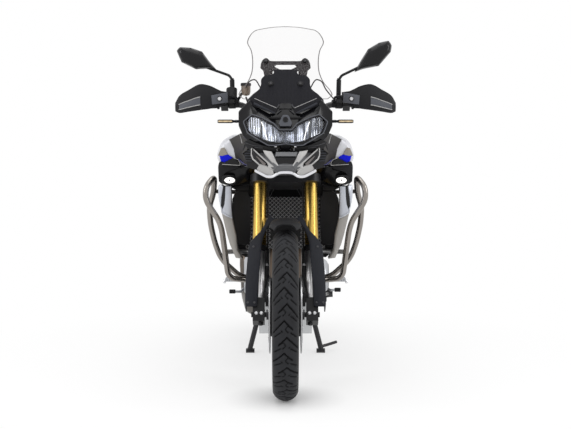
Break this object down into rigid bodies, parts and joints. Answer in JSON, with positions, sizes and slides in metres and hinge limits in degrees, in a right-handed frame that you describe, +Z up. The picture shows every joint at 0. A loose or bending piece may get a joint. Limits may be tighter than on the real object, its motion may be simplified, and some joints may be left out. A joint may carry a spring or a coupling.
{
  "type": "adventure motorcycle",
  "caption": "Adventure motorcycle on its centre stand: tall windscreen, beak, hand guards, crash bars, cast wheels, chain drive, luggage rack, turning steering, rolling wheels.",
  "frame": {"origin": "on the ground, on the middle plane, midway between the front of the front tyre and the back of the number plate", "axes": "-Y points forward, +X to the rider's left, +Z up"},
  "size_m": [0.928, 2.2098, 1.47],
  "materials": {
    "front_tyre": "block tread rubber",
    "front_rim": "satin black cast wheel",
    "front_discs": "drilled ground steel",
    "rear_tyre": "block tread rubber",
    "rear_rim": "satin black cast wheel",
    "rear_disc": "drilled ground steel",
    "rear_sprocket": "machined steel",
    "fork_tubes": "gold anodised",
    "fork_legs": "cast, satin",
    "fork_yokes": "satin black",
    "handlebar": "satin black",
    "grips": "ribbed rubber",
    "hand_controls": "fine grain",
    "hand_guards": "grained black",
    "mirrors": "grained black with mirror glass",
    "front_mudguard": "grained black",
    "front_calipers": "satin black",
    "main_frame": "satin black",
    "chain": "oiled steel",
    "front_sprocket": "machined steel",
    "swingarm": "satin",
    "rear_shock": "black with painted spring",
    "rear_caliper": "satin black",
    "engine_case": "cast, satin",
    "cylinder_head": "cast, satin",
    "airbox": "black",
    "radiator": "black core",
    "exhaust_header": "stainless",
    "silencer": "brushed with black end cap",
    "skid_plate": "brushed",
    "foot_controls": "satin",
    "fuel_tank": "silver paint",
    "rider_seat": "grained seat cover",
    "pillion_seat": "grained seat cover",
    "tail_cowl": "grained black",
    "luggage_rack": "black powder coat",
    "tail_lamp": "red lens",
    "plate_carrier": "black",
    "number_plate": "blank",
    "fairing_stay": "satin black",
    "headlight_lens": "clear",
    "headlight_unit": "dark reflector",
    "front_cowl": "gloss black",
    "beak": "silver and black",
    "windscreen": "clear",
    "screen_panel": "patterned black",
    "screen_mount": "black",
    "instrument": "black display",
    "tank_shrouds": "silver with dark inner face",
    "side_panels": "black with light edge",
    "radiator_wings": "silver paint",
    "crash_bars": "polished stainless tube",
    "fog_lamps": "black with clear lens",
    "indicators": "amber lens",
    "centre_stand": "satin black",
    "side_stand": "satin black"
  },
  "bodies": {
    "front_wheel": {"front_tyre": "front_tyre", "front_rim": "front_rim", "front_discs": "front_discs"},
    "rear_wheel": {"rear_tyre": "rear_tyre", "rear_rim": "rear_rim", "rear_disc": "rear_disc", "rear_sprocket": "rear_sprocket"},
    "steering": {"fork_tubes": "fork_tubes", "fork_legs": "fork_legs", "fork_yokes": "fork_yokes", "handlebar": "handlebar", "grips": "grips", "hand_controls": "hand_controls", "hand_guards": "hand_guards", "mirrors": "mirrors", "front_mudguard": "front_mudguard", "front_calipers": "front_calipers"},
    "chassis": {"main_frame": "main_frame", "chain": "chain", "front_sprocket": "front_sprocket", "swingarm": "swingarm", "rear_shock": "rear_shock", "rear_caliper": "rear_caliper", "engine_case": "engine_case", "cylinder_head": "cylinder_head", "airbox": "airbox", "radiator": "radiator", "exhaust_header": "exhaust_header", "silencer": "silencer", "skid_plate": "skid_plate", "foot_controls": "foot_controls", "fuel_tank": "fuel_tank", "rider_seat": "rider_seat", "pillion_seat": "pillion_seat", "tail_cowl": "tail_cowl", "luggage_rack": "luggage_rack", "tail_lamp": "tail_lamp", "plate_carrier": "plate_carrier", "number_plate": "number_plate", "fairing_stay": "fairing_stay", "headlight_lens": "headlight_lens", "headlight_unit": "headlight_unit", "front_cowl": "front_cowl", "beak": "beak", "windscreen": "windscreen", "screen_panel": "screen_panel", "screen_mount": "screen_mount", "instrument": "instrument", "tank_shrouds": "tank_shrouds", "side_panels": "side_panels", "radiator_wings": "radiator_wings", "crash_bars": "crash_bars", "fog_lamps": "fog_lamps", "indicators": "indicators"},
    "centre_stand": {"centre_stand": "centre_stand"},
    "side_stand": {"side_stand": "side_stand"}
  },
  "joints": [
    {"name": "steering", "type": "hinge", "parent": "chassis", "child": "steering", "pos_m": [0, -0.73086, 0.30996], "axis": [0, 0.4384, 0.8988], "range_deg": [-33, 33]},
    {"name": "front_wheel", "type": "hinge", "parent": "steering", "child": "front_wheel", "pos_m": [0, -0.774, 0.331], "axis": [1, 0, 0], "continuous": true},
    {"name": "rear_wheel", "type": "hinge", "parent": "chassis", "child": "rear_wheel", "pos_m": [0, 0.736, 0.335], "axis": [1, 0, 0], "continuous": true},
    {"name": "centre_stand", "type": "hinge", "parent": "chassis", "child": "centre_stand", "pos_m": [0, 0.176, 0.292], "axis": [1, 0, 0], "range_deg": [0, 84]},
    {"name": "side_stand", "type": "hinge", "parent": "chassis", "child": "side_stand", "pos_m": [0.166, 0.02, 0.276], "axis": [-1, 0, 0], "range_deg": [0, 110]}
  ]
}
